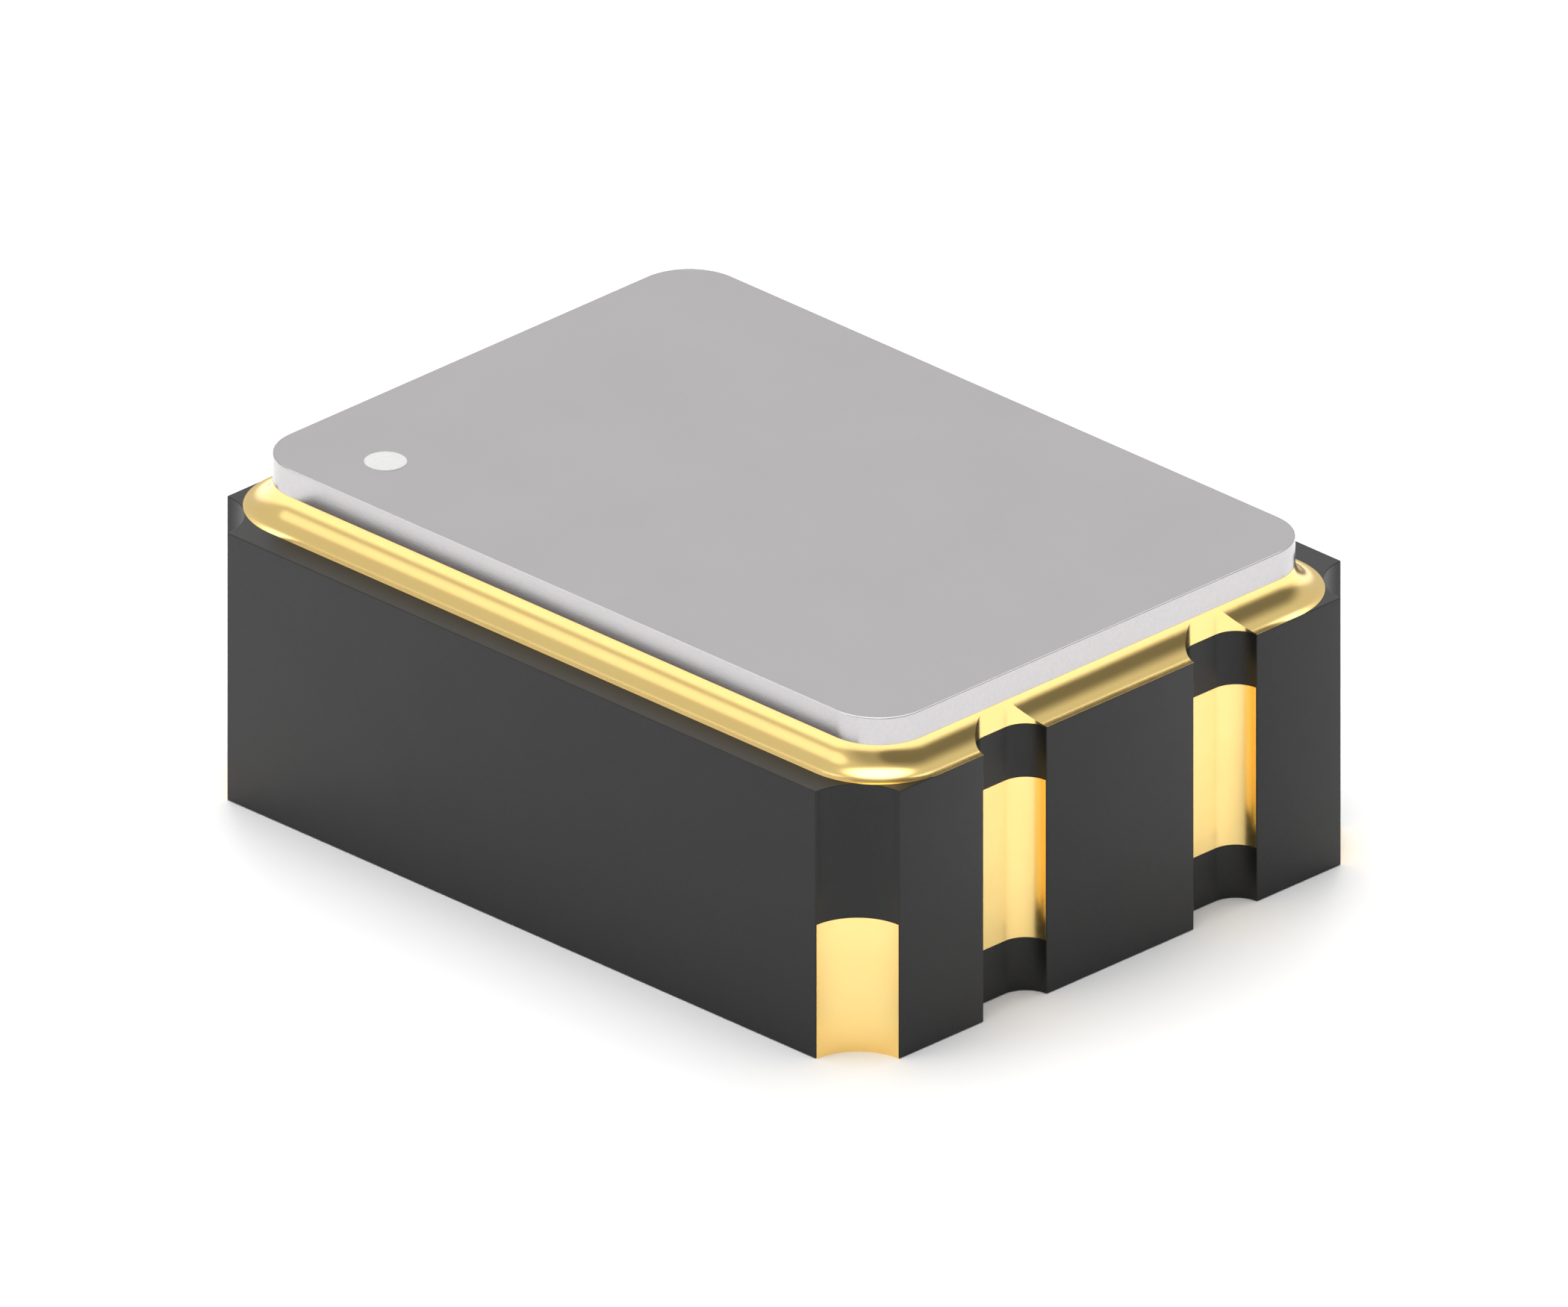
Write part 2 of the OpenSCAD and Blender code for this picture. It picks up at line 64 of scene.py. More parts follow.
# Castellations: round notches in the corners and in the short sides
CORNER_NOTCH = 0.2
SIDE_NOTCH_DEPTH = 0.1
SIDE_NOTCH_FLAT = 0.1
SIDE_NOTCH_Y = 0.5
SIDE_LOW = SIDE_NOTCH_Y - SIDE_NOTCH_FLAT / 2
SIDE_HIGH = SIDE_NOTCH_Y + SIDE_NOTCH_FLAT / 2

# Conductors: thickness of the fired metal, and how far its plating stands proud of the ceramic
METAL = 0.01
PROUD = 0.0015

# Solder pads: size, distance from the package's edges, and the tongue that joins them to their castellations
PAD = np.array([0.9, 0.7])
PAD_MARGIN = 0.15
TONGUE_WIDTH = 0.2
TONGUE_LAP = PAD_MARGIN / 2

# Tracks: width, drop of their tops under the fingers that they join, straight lead, and the outer ones' place
TRACK = 0.1
TRACK_DROP = 0.001
TRACK_LEAD = 0.15
OUTER_TRACK_Y = 0.95

# Bonding fingers: four to a row, at half and at one and a half spacings from the die's middle
FINGER = np.array([0.16, 0.24])
FINGER_SPACING = 0.3
INNER_FINGER = FINGER_SPACING / 2
OUTER_FINGER = FINGER_SPACING * 3 / 2
FINGER_Y = 0.65

# Column that earths the lid, and the crystal's mounting pads
EARTH_COLUMN = 0.1
EARTH_COLUMN_INSET = 0.35
MOUNT_PAD = np.array([0.36, 0.42])
MOUNT_PAD_PLACE = np.array([-1.03, 0.45])

# Stepped cavity: half its size, the radius in its corners, how far the crystal's shelf reaches in from -X,
# half the circuit's pocket, and the small step that keeps its faces off the metal's tops and the walls above
CAVITY_HALF = np.array([1.25, 0.8])
CAVITY_CORNER = 0.1
SHELF_REACH = 0.45
POCKET_HALF = np.array([0.6, 0.5])
WALL_STEP = 0.002
SHELF_EDGE = SHELF_REACH - CAVITY_HALF[0]
DIE_PLACE = np.array([(CAVITY_HALF[0] + SHELF_EDGE) / 2, 0])

# Braze: the size of its fillet and of the fillet's thin upper edge, the skin that a side notch leaves of it,
# and the angle at which it meets ceramic and ring. Under the ring it is a film, as wide as the ring's band.
FILLET = 0.1
FILLET_EDGE = 0.0006
LEAST_REACH = 0.001
CONTACT_ANGLE = 5.0

# Lid and seal ring: the radius in their corners, the ring's band and the radius in its opening's corners
LID_CORNER = 0.2
RING_BAND = 0.2
RING_OPENING_CORNER = 0.1

# Broken edges: of the ceramic in plan and along its top and bottom, and of the lid
CERAMIC_PLAN_BREAK = 0.004
CERAMIC_EDGE_BREAK = 0.003
LID_EDGE_BREAK = 0.004

# Ink dot by terminal 1
DOT_RADIUS = 0.073
DOT_CENTRE = np.array([-1.12, -0.775])
INK = 0.003
# How far in and how high each circle of the dot is, in thicknesses of the ink, which starts inside the lid
DOT_RIM = [(0, -1), (0, 1 / 3), (1 / 2, 0.8), (2, 1)]

# Steps along each kind of arc
EDGE_STEPS = 3
CAVITY_STEPS = 8
PLAN_STEPS = 4
NOTCH_STEPS = 16
CORNER_STEPS = 28
FILLET_STEPS = 28
FLOOR_STEPS = 64
# Degrees between faces above which their edge is sharp: more than a step of the notches, the rounded
# corners and the fillet, and less than a step of a broken edge
SMOOTH_LIMIT = 12


# Camera: a parallel view from the corner between +X and -Y
VIEW_WIDTH = 5.274
VIEW_TARGET = Vector((0, 0, 0.6))
VIEW_WAY = Vector((0.635, -0.635, 0.44)).normalized()
CAMERA_DISTANCE = 60
NEAREST_SEEN = 1
FARTHEST_SEEN = 2000

camera = bpy.data.objects.new("camera", bpy.data.cameras.new("camera"))
camera.data.type = "ORTHO"
camera.data.ortho_scale = VIEW_WIDTH * MM
camera.data.clip_start = NEAREST_SEEN * MM
camera.data.clip_end = FARTHEST_SEEN * MM
camera.location = (VIEW_TARGET + VIEW_WAY * CAMERA_DISTANCE) * MM
camera.rotation_euler = VIEW_WAY.to_track_quat("Z", "Y").to_euler()
bpy.context.scene.collection.objects.link(camera)
bpy.context.scene.camera = camera
bpy.context.scene.view_settings.view_transform = "Standard"


# Shader trees

# Where most of a noise pattern's values lie
PATTERN_LOW = 0.3
PATTERN_HIGH = 0.7


def add(tree, kind, inputs=(), **settings):
    """Adds one shader node: settings are its attributes, and inputs are values or sockets to link."""
    node = tree.nodes.new("ShaderNode" + kind)
    for name, value in settings.items():
        setattr(node, name, value)
    for name, value in dict(inputs).items():
        if isinstance(value, bpy.types.NodeSocket):
            tree.links.new(value, node.inputs[name])
        else:
            node.inputs[name].default_value = value
    return node


def linear(code):
    """Linear colour from an sRGB hex value, by the standard's two-part curve."""
    srgb = np.array([int(code[i:i + 2], 16) for i in (1, 3, 5)]) / 255
    line = srgb / 12.92
    power = ((srgb + 0.055) / 1.055) ** 2.4
    return (*np.where(srgb <= 0.04045, line, power).tolist(), 1.0)


def grain(tree, size, detail=2.0):
    """Noise on the object's own coordinates whose lumps are about size millimetres across."""
    place = add(tree, "TexCoord").outputs["Object"]
    noise = add(tree, "TexNoise", {"Vector": place, "Scale": 1 / (size * MM), "Detail": detail})
    return noise.outputs["Fac"]


def between(tree, pattern, low, high):
    """A value that goes from low to high while the pattern goes over its usual values."""
    return add(tree, "MapRange", {
        "Value": pattern, "From Min": PATTERN_LOW, "From Max": PATTERN_HIGH, "To Min": low, "To Max": high,
    }).outputs["Result"]


def tint(tree, pattern, dark, light):
    """A colour that goes from dark to light with the pattern, both given as sRGB hex values."""
    share = between(tree, pattern, 0, 1)
    return add(tree, "Mix", {"Factor": share, 6: linear(dark), 7: linear(light)}, data_type="RGBA").outputs[2]


def bump(tree, pattern, height):
    """Relief of the given height in millimetres from a pattern of 0 to 1."""
    return add(tree, "Bump", {"Height": pattern, "Distance": height * MM, "Strength": 1.0}).outputs["Normal"]


def material(name, surface):
    """New material whose Principled shader takes the sockets and values that surface(tree) gives."""
    made = bpy.data.materials.new(name)
    made.use_nodes = True
    tree = made.node_tree
    tree.nodes.clear()
    shader = add(tree, "BsdfPrincipled", surface(tree))
    add(tree, "OutputMaterial", {"Surface": shader.outputs["BSDF"]})
    return made


def black_ceramic(tree):
    # Co-fired black alumina: the smooth tape leaves a dark half-gloss, with a speckle from its 0.01 mm grains
    speckle = grain(tree, 0.012, detail=3)
    cloud = grain(tree, 0.25)
    return {
        "Base Color": tint(tree, speckle, "#191919", "#1E1E1E"),
        "Roughness": between(tree, cloud, 0.36, 0.4),
        "Specular IOR Level": 0.37,
        "Normal": bump(tree, speckle, 0.0001),
    }


def gold_on_fired_metal(tree):
    # Electroplated gold over nickel on screened and fired tungsten: the paste's grain leaves it satin
    lumps = grain(tree, 0.03)
    return {
        "Base Color": tint(tree, grain(tree, 0.2), "#FFDC8E", "#FFE093"),
        "Metallic": 1.0,
        "Roughness": between(tree, lumps, 0.22, 0.27),
        "Normal": bump(tree, lumps, 0.0001),
    }


def gold_on_braze(tree):
    # Electroplated gold over reflowed silver-copper braze: smooth as the melt, with a faint slow waviness
    waves = grain(tree, 0.12, detail=1)
    return {
        "Base Color": tint(tree, grain(tree, 0.3), "#FFDD8F", "#FFE092"),
        "Metallic": 1.0,
        "Roughness": between(tree, waves, 0.15, 0.19),
        "Normal": bump(tree, waves, 0.0002),
    }


def nickel_on_lid(tree):
    # Electroplated nickel on a blanked alloy strip: pale warm grey, satin, with a fine even tooth
    tooth = grain(tree, 0.008, detail=2)
    cloud = grain(tree, 0.4)
    return {
        "Base Color": tint(tree, tooth, "#C2BFC0", "#C9C6C7"),
        "Metallic": 1.0,
        "Roughness": between(tree, cloud, 0.206, 0.214),
        "Normal": bump(tree, tooth, 0.0001),
    }


def fired_tungsten(tree):
    # Screened tungsten paste after firing: dull grey with the coarse grain of the sintered powder
    lumps = grain(tree, 0.015, detail=3)
    return {
        "Base Color": tint(tree, lumps, "#7E7C78", "#96938D"),
        "Metallic": 1.0,
        "Roughness": between(tree, lumps, 0.45, 0.6),
        "Normal": bump(tree, lumps, 0.001),
    }


def polished_silicon(tree):
    # Diced silicon: the polished face mirrors blue-grey, crossed by the circuit's faint 0.08 mm blocks
    block = 0.08
    place = add(tree, "TexCoord").outputs["Object"]
    blocks = add(tree, "TexVoronoi", {"Vector": place, "Scale": 1 / (block * MM)}, distance="CHEBYCHEV")
    return {
        "Base Color": tint(tree, blocks.outputs["Distance"], "#4E5668", "#66707F"),
        "Metallic": 0.9,
        "Roughness": between(tree, grain(tree, 0.05), 0.1, 0.16),
    }


def cured_resin(tree):
    # Cured epoxy film: cream, half matt, a little uneven where it was pressed out
    lumps = grain(tree, 0.06)
    return {
        "Base Color": tint(tree, lumps, "#D8CDB4", "#E6DDC9"),
        "Roughness": between(tree, lumps, 0.4, 0.55),
        "Normal": bump(tree, lumps, 0.001),
    }


def evaporated_aluminium(tree):
    # Evaporated aluminium: a bright white mirror with the grain of a thin film
    film = grain(tree, 0.006)
    return {
        "Base Color": tint(tree, film, "#D3D5D8", "#E2E4E6"),
        "Metallic": 1.0,
        "Roughness": between(tree, film, 0.18, 0.26),
    }


def drawn_gold_wire(tree):
    # Drawn fine gold wire: bright, with faint marks of the die along it
    marks = grain(tree, 0.01)
    return {
        "Base Color": tint(tree, marks, "#F6CF7C", "#FFDD90"),
        "Metallic": 1.0,
        "Roughness": between(tree, marks, 0.14, 0.22),
    }


def silver_adhesive(tree):
    # Silver-filled silicone: flakes in resin give a matt sparkle
    flakes = grain(tree, 0.01, detail=4)
    return {
        "Base Color": tint(tree, flakes, "#A9AAAC", "#D2D3D5"),
        "Metallic": 0.6,
        "Roughness": between(tree, flakes, 0.4, 0.6),
        "Normal": bump(tree, flakes, 0.002),
    }


def evaporated_silver(tree):
    # Evaporated silver on quartz: a mirror that the lapped blank beneath turns slightly satin
    lapping = grain(tree, 0.01)
    return {
        "Base Color": tint(tree, lapping, "#DADBDD", "#E8E9EA"),
        "Metallic": 1.0,
        "Roughness": between(tree, lapping, 0.12, 0.2),
    }


def lapped_quartz(tree):
    # Lapped and etched quartz: clear, with a fine frost on its faces
    frost = grain(tree, 0.01)
    return {
        "Base Color": tint(tree, frost, "#E6EDF0", "#F4F8FA"),
        "Roughness": between(tree, frost, 0.12, 0.22),
        "Transmission Weight": 0.9,
        "IOR": 1.544,
    }


def marking_ink(tree):
    # Pad-printed white epoxy ink: chalky, with the pad's fine texture
    texture = grain(tree, 0.012)
    return {
        "Base Color": tint(tree, texture, "#E6E6E5", "#EDEDEC"),
        "Roughness": between(tree, texture, 0.5, 0.6),
        "Normal": bump(tree, texture, 0.0006),
    }


MATERIALS = {
    surface.__name__: material(surface.__name__, surface)
    for surface in (
        black_ceramic, gold_on_fired_metal, gold_on_braze, nickel_on_lid, fired_tungsten, polished_silicon,
        cured_resin, evaporated_aluminium, drawn_gold_wire, silver_adhesive, evaporated_silver, lapped_quartz,
        marking_ink,
    )
}


# Outlines and shells

def arc(centre, radius, start, end, steps):
    """Points on a circle: the centre plus the radius times cosine and sine, at even angles in degrees."""
    angle = np.radians(np.linspace(start, end, steps + 1))
    return np.column_stack([centre[0] + radius * np.cos(angle), centre[1] + radius * np.sin(angle)])


def mirrored(quarter, signs=((1, 1), (-1, 1), (-1, -1), (1, -1))):
    """Closed loop from the points of its first quadrant, each mirrored in X and Y and walked onwards."""
    turns = [quarter * sign for sign in signs]
    return np.vstack([turn[:-1] if i % 2 == 0 else turn[::-1][:-1] for i, turn in enumerate(turns)])


def package_outline(inset):
    """Plan of the ceramic, moved in by inset: straight sides, round notches, a small arc at each edge."""
    edge = CERAMIC_PLAN_BREAK
    soft = edge - inset
    side = SIDE_NOTCH_DEPTH
    corner = CORNER_NOTCH
    side_bite = np.degrees(np.arcsin(edge / (side + inset)))
    corner_bite = np.degrees(np.arcsin(edge / (corner + inset)))
    x, y = HALF
    quarter = np.vstack([
        [[x - inset, 0]],
        arc((x - edge, SIDE_LOW - side - edge), soft, 0, 90, PLAN_STEPS)[:-1],
        arc((x, SIDE_LOW), side + inset, -90 - side_bite, -180, NOTCH_STEPS),
        arc((x, SIDE_HIGH), side + inset, 180, 90 + side_bite, NOTCH_STEPS),
        arc((x - edge, SIDE_HIGH + side + edge), soft, -90, 0, PLAN_STEPS)[1:],
        arc((x - edge, y - corner - edge), soft, 0, 90, PLAN_STEPS)[:-1],
        arc((x, y), corner + inset, -90 - corner_bite, -180 + corner_bite, CORNER_STEPS),
        arc((x - corner - edge, y - edge), soft, 0, 90, PLAN_STEPS)[1:],
        [[0, y - inset]],
    ])
    return mirrored(quarter)


def plate_outline(half, corner, steps=CORNER_STEPS):
    """Rectangle whose corners are quarter circles about points one radius in, as a closed loop."""
    quarter = np.vstack([[[half[0], 0]], arc(half - corner, corner, 0, 90, steps), [[0, half[1]]]])
    return mirrored(quarter)


def level(outline, height):
    """The outline's points at one height."""
    return np.column_stack([outline, np.full(len(outline), height)])


def broken_edge(outline_of, edge, height, side):
    """Levels of a quarter circle from the wall to a flat face, at the top (side 1) or the bottom (-1)."""
    angle = np.radians(np.linspace(0, 90, EDGE_STEPS + 1))
    levels = [
        level(outline_of(edge * (1 - np.cos(a))), height - side * edge * (1 - np.sin(a)))
        for a in angle
    ]
    return levels if side > 0 else levels[::-1]


def quads_between(index, closed=False):
    """Quads between neighbouring rows of point numbers, where each row closes on itself."""
    here = index if closed else index[:-1]
    there = np.roll(index, -1, 0) if closed else index[1:]
    return np.stack([here, np.roll(here, -1, 1), np.roll(there, -1, 1), there], -1).reshape(-1, 4)


def skin(rows, closed=False):
    """Shell over rows of points, as its points and blocks of faces.

    Quads join neighbouring rows, each of which closes on itself, and two caps close the ends unless the rows
    close too. The volume under the faces, by the triple product of their corners, tells which way they point.
    """
    rows = np.asarray(rows, float)
    count, width, _ = rows.shape
    index = np.arange(count * width).reshape(count, width)
    quads = quads_between(index, closed)
    caps = [] if closed else [index[:1, ::-1], index[-1:]]
    points = rows.reshape(-1, 3)
    fans = [np.column_stack([np.full(width - 2, cap[0, 0]), cap[0, 1:-1], cap[0, 2:]]) for cap in caps]
    triangles = np.vstack([quads[:, [0, 1, 2]], quads[:, [0, 2, 3]], *fans])
    a, b, c = points[triangles].transpose(1, 0, 2)
    turn = -1 if np.einsum("ij,ij->", a, np.cross(b, c)) < 0 else 1
    return points, [block[:, ::turn] for block in (quads, *caps)]


def prism(outline, bottom, top):
    """Shell with the outline as its upright wall, from bottom to top."""
    return skin([level(outline, bottom), level(outline, top)])


def piece(name, shells, finish, replaces=()):
    """One mesh object from closed shells, smooth except where faces meet at more than the smooth limit."""
    points, faces, start = [], [], 0
    for shell_points, blocks in shells:
        points.append(shell_points)
        for block in blocks:
            faces += (start + block).tolist()
        start += len(shell_points)
    mesh = bpy.data.meshes.new(name)
    mesh.from_pydata((np.vstack(points) * MM).tolist(), [], faces)
    mesh.shade_smooth()
    mesh.set_sharp_from_angle(angle=np.radians(SMOOTH_LIMIT))
    mesh.materials.append(MATERIALS[finish])
    made = bpy.data.objects.new(name, mesh)
    bpy.context.scene.collection.objects.link(made)
    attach(made, "root")
    if replaces:
        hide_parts(*replaces)


# Ceramic body

def ceramic_shell():
    """The ceramic's surface: under it and up its outside, across the top, and down the steps of the cavity.

    The top is cut into triangles between the outer outline and the cavity's, and each is turned to face up.
    """
    opening_half = np.array([CAVITY_HALF[0] - SHELF_EDGE, 2 * CAVITY_HALF[1]]) / 2 - WALL_STEP
    cavity = plate_outline(CAVITY_HALF, CAVITY_CORNER, CAVITY_STEPS)
    opening = DIE_PLACE + plate_outline(opening_half, CAVITY_CORNER, CAVITY_STEPS)
    pocket = DIE_PLACE + plate_outline(POCKET_HALF, CAVITY_CORNER, CAVITY_STEPS)
    outside = np.array([
        *broken_edge(package_outline, CERAMIC_EDGE_BREAK, BOTTOM, -1),
        *broken_edge(package_outline, CERAMIC_EDGE_BREAK, CERAMIC_TOP, 1),
    ])
    inside = np.array([
        level(cavity, CERAMIC_TOP),
        level(cavity, SHELF_TOP - WALL_STEP),
        level(opening, SHELF_TOP - WALL_STEP),
        level(opening, DIE_LAYER_TOP - WALL_STEP),
        level(pocket, DIE_LAYER_TOP - WALL_STEP),
        level(pocket, BASE_TOP - WALL_STEP),
    ])
    points = np.vstack([outside.reshape(-1, 3), inside.reshape(-1, 3)])
    outer = np.arange(outside[..., 0].size).reshape(outside.shape[:2])
    inner = outer.size + np.arange(inside[..., 0].size).reshape(inside.shape[:2])
    rim = np.concatenate([outer[-1], inner[0]])
    top = rim[np.array(tessellate_polygon([outside[-1].tolist(), inside[0].tolist()]))]
    first, second, third = points[top].transpose(1, 0, 2)
    downward = np.cross(second - first, third - first)[:, 2] < 0
    top[downward] = top[downward, ::-1]
    return points, [outer[:1, ::-1], quads_between(outer), top, quads_between(inner), inner[-1:]]


piece("ceramic_package", [ceramic_shell()], "black_ceramic", ["ceramic_body"])


# Conductors: plated castellations and pads, with the buried tracks and the fingers that they lead to

def band(path, width):
    """Outline of a track: each point moved to both sides, by half the width along the mitre of its bend."""
    path = np.asarray(path, float)
    way = np.diff(path, axis=0)
    left = way[:, ::-1] * (-1, 1) / np.linalg.norm(way, axis=1, keepdims=True)
    before, after = np.vstack([left[:1], left]), np.vstack([left, left[-1:]])
    mitre = before + after
    offset = mitre * width / 2 / np.sum(mitre * before, axis=1, keepdims=True)
    return np.vstack([path + offset, (path - offset)[::-1]])


def field(middle, size):
    """Outline of a rectangle of metal: its corners lie half its size from the middle, each way."""
    return middle + np.array([(-1, -1), (1, -1), (1, 1), (-1, 1)]) * size / 2


def flush(outline, height):
    """A conductor as thick as the fired metal, with its top at the given height."""
    return prism(outline, height - METAL, height)


def track(path, height):
    """A track along the path, whose top lies just under that of the finger or pad that it joins."""
    return flush(band(path, TRACK), height - TRACK_DROP)


def corner_lining():
    """Plan of the metal in the +X +Y corner notch, from just proud of it to the metal's thickness behind."""
    lip = np.degrees(CERAMIC_PLAN_BREAK / CORNER_NOTCH)
    front, back = [
        arc(HALF, radius, -90 - lip, -180 + lip, CORNER_STEPS)
        for radius in (CORNER_NOTCH - PROUD, CORNER_NOTCH + METAL)
    ]
    return np.vstack([front, back[::-1]])


def side_lining():
    """Plan of the metal in the +X side's notch at +Y: an arc, a flat and an arc, in front and behind."""
    lip = np.degrees(CERAMIC_PLAN_BREAK / SIDE_NOTCH_DEPTH)
    front, back = [
        np.vstack([
            arc((HALF[0], SIDE_LOW), radius, -90 - lip, -180, NOTCH_STEPS),
            arc((HALF[0], SIDE_HIGH), radius, 180, 90 + lip, NOTCH_STEPS),
        ])
        for radius in (SIDE_NOTCH_DEPTH - PROUD, SIDE_NOTCH_DEPTH + METAL)
    ]
    return np.vstack([front, back[::-1]])


def finger(x):
    """Outline of the bonding finger at +Y with its middle at x."""
    return field(np.array([x, FINGER_Y]), FINGER)


def terminal(corner):
    """Corner lining, solder pad, the tongue between them, buried track and inner finger, at one corner."""
    x = DIE_PLACE[0] * corner[0] + INNER_FINGER
    slant = np.sqrt(0.5) * (CORNER_NOTCH + METAL / 2)
    bend = HALF - (HALF[1] - OUTER_TRACK_Y)
    path = [HALF - slant, bend, (x, OUTER_TRACK_Y), (x, FINGER_Y)]
    tongue = band([HALF - slant, HALF - PAD_MARGIN - TONGUE_LAP], TONGUE_WIDTH)
    pad = field(HALF - PAD_MARGIN - PAD / 2, PAD)
    return [
        prism(corner_lining() * corner, BOTTOM - PROUD, DIE_LAYER_TOP),
        prism(pad * corner, BOTTOM - PROUD, BOTTOM + METAL),
        prism(tongue * corner, BOTTOM - PROUD / 2, BOTTOM + METAL / 2),
        track(path * np.array(corner), DIE_LAYER_TOP),
        flush(finger(x) * corner, DIE_LAYER_TOP),
    ]


def earth_column():
    """Round column from the ground terminal's track up to the metal under the braze."""
    place = np.array([CAVITY_HALF[0] - EARTH_COLUMN_INSET, -OUTER_TRACK_Y])
    outline = place + arc((0, 0), EARTH_COLUMN / 2, 0, 360, NOTCH_STEPS)[:-1]
    return prism(outline, DIE_LAYER_TOP - METAL / 2, EARTH_COLUMN_TOP)


def side_contact(corner):
    """Lining of a side notch, its buried track and the outer finger."""
    x = DIE_PLACE[0] * corner[0] + OUTER_FINGER
    start = HALF[0] - SIDE_NOTCH_DEPTH
    bend = start - TRACK_LEAD
    path = [
        (start - METAL / 2, SIDE_NOTCH_Y), (bend, SIDE_NOTCH_Y),
        (bend - FINGER_Y + SIDE_NOTCH_Y, FINGER_Y), (x, FINGER_Y),
    ]
    return [
        prism(side_lining() * corner, BASE_TOP, SHELF_TOP),
        track(path * np.array(corner), DIE_LAYER_TOP),
        flush(finger(x) * corner, DIE_LAYER_TOP),
    ]


def mount_pad(side):
    """Mounting pad of the crystal and its track from the side notch."""
    start = (SIDE_NOTCH_DEPTH + METAL / 2 - HALF[0], SIDE_NOTCH_Y * side)
    end = (MOUNT_PAD_PLACE[0], SIDE_NOTCH_Y * side)
    return [
        track([start, end], SHELF_TOP),
        flush(field(MOUNT_PAD_PLACE * (1, side), MOUNT_PAD), SHELF_TOP),
    ]


CORNERS = {
    "terminal_1_enable": (-1, -1), "terminal_2_ground": (1, -1),
    "terminal_3_output": (1, 1), "terminal_4_supply": (-1, 1),
}
CONTACTS = {
    "crystal_contact_1": (-1, -1), "crystal_contact_2": (-1, 1),
    "program_contact_1": (1, -1), "program_contact_2": (1, 1),
}
for node, corner in CORNERS.items():
    shells = terminal(corner) + ([earth_column()] if node == "terminal_2_ground" else [])
    piece(f"plated_{node}", shells, "gold_on_fired_metal", [node])
for node, corner in CONTACTS.items():
    shells = side_contact(corner) + (mount_pad(corner[1]) if node.startswith("crystal") else [])
    piece(f"plated_{node}", shells, "gold_on_fired_metal", [node])


# Braze: its film under the ring and its hollow fillet outside it

def braze_path():
    """The ring from above: places on its wall and its opening, outward directions, and the braze's reach.

    In front of a side notch the reach is what the notch's circle leaves of the fillet, rounded off smoothly
    to a thin skin where the circle would reach the ring.
    """
    angle = np.radians(np.linspace(90, 0, NOTCH_STEPS + 1))
    left = FILLET - SIDE_NOTCH_DEPTH * np.cos(angle)
    reach = (left + np.hypot(left, 2 * LEAST_REACH)) / 2
    spread = SIDE_NOTCH_DEPTH * np.sin(angle)
    run = np.concatenate([[0], SIDE_LOW - spread, (SIDE_HIGH + spread)[::-1]])
    run_reach = np.concatenate([[FILLET], reach, reach[::-1]])
    turn = arc((0, 0), 1, 0, 90, CORNER_STEPS)
    wall, opening = [
        np.vstack([
            np.column_stack([np.full(len(run), half[0]), run]), half - corner + corner * turn, [[0, half[1]]],
        ])
        for half, corner in ((RING_HALF, LID_CORNER), (RING_HALF - RING_BAND, RING_OPENING_CORNER))
    ]
    ways = np.vstack([np.tile([1, 0], (len(run), 1)), turn, [[0, 1]]])
    reaches = np.concatenate([run_reach, np.full(len(turn) + 1, FILLET)])
    quarter = np.column_stack([wall, opening, ways, reaches])
    signs = [(sx, sy, sx, sy, sx, sy, 1) for sx, sy in ((1, 1), (-1, 1), (-1, -1), (1, -1))]
    return mirrored(quarter, signs)


def braze_rows():
    """Sections of the braze, each from the ring's opening and back to it.

    A section is flat under, cut upright at its reach, then a hollow arc up to the lid, and runs back down the
    ring's wall and along the top of the film. The arc meets the ceramic and the ring at the contact angle:
    distance out is the centre's less the radius times cosine, and height is the centre's less the radius
    times sine.
    """
    wall, opening, ways, reach = np.split(braze_path(), [2, 4, 6], axis=1)
    slope = np.tan(np.radians(CONTACT_ANGLE))
    back = FILLET * slope / (1 - slope)
    centre = FILLET + back
    radius = np.hypot(back, centre - FILLET_EDGE)
    low = np.arccos((centre - reach) / radius)
    high = np.arccos((centre - FILLET_EDGE) / radius)
    angle = low + (high - low) * np.linspace(0, 1, FILLET_STEPS + 1)
    zero = np.zeros_like(reach)
    film = zero + RING_BOTTOM - CERAMIC_TOP
    out = np.hstack([reach, centre - radius * np.cos(angle), zero, zero])
    up = np.hstack([zero, zero, centre - radius * np.sin(angle), zero + FILLET, film, film])
    outside = wall[:, None] + ways[:, None] * out[:, :, None]
    flat = np.hstack([opening[:, None], outside, opening[:, None]])
    return np.dstack([flat, CERAMIC_TOP + up])


braze = skin(braze_rows(), closed=True)
piece("gold_plated_braze", [braze], "gold_on_braze", ["braze_fillet"])


# Lid and its ink dot

def lid_levels():
    """Levels of the lid: a rounded plate, square where it is welded to the ring, its upper edge broken."""
    def outline(inset):
        return plate_outline(RING_HALF - inset, LID_CORNER - inset)

    return [level(outline(0), LID_BOTTOM), *broken_edge(outline, LID_EDGE_BREAK, LID_TOP, 1)]


piece("nickel_plated_lid", [skin(lid_levels())], "nickel_on_lid", ["lid"])


def dot_levels():
    """Levels of the ink dot: circles that are drawn in towards its top."""
    steps = 2 * CORNER_STEPS
    return [
        level(arc(DOT_CENTRE, DOT_RADIUS - inset * INK, 0, 360, steps)[:-1], LID_TOP + height * INK)
        for inset, height in DOT_RIM
    ]


piece("terminal_1_dot", [skin(dot_levels())], "marking_ink")


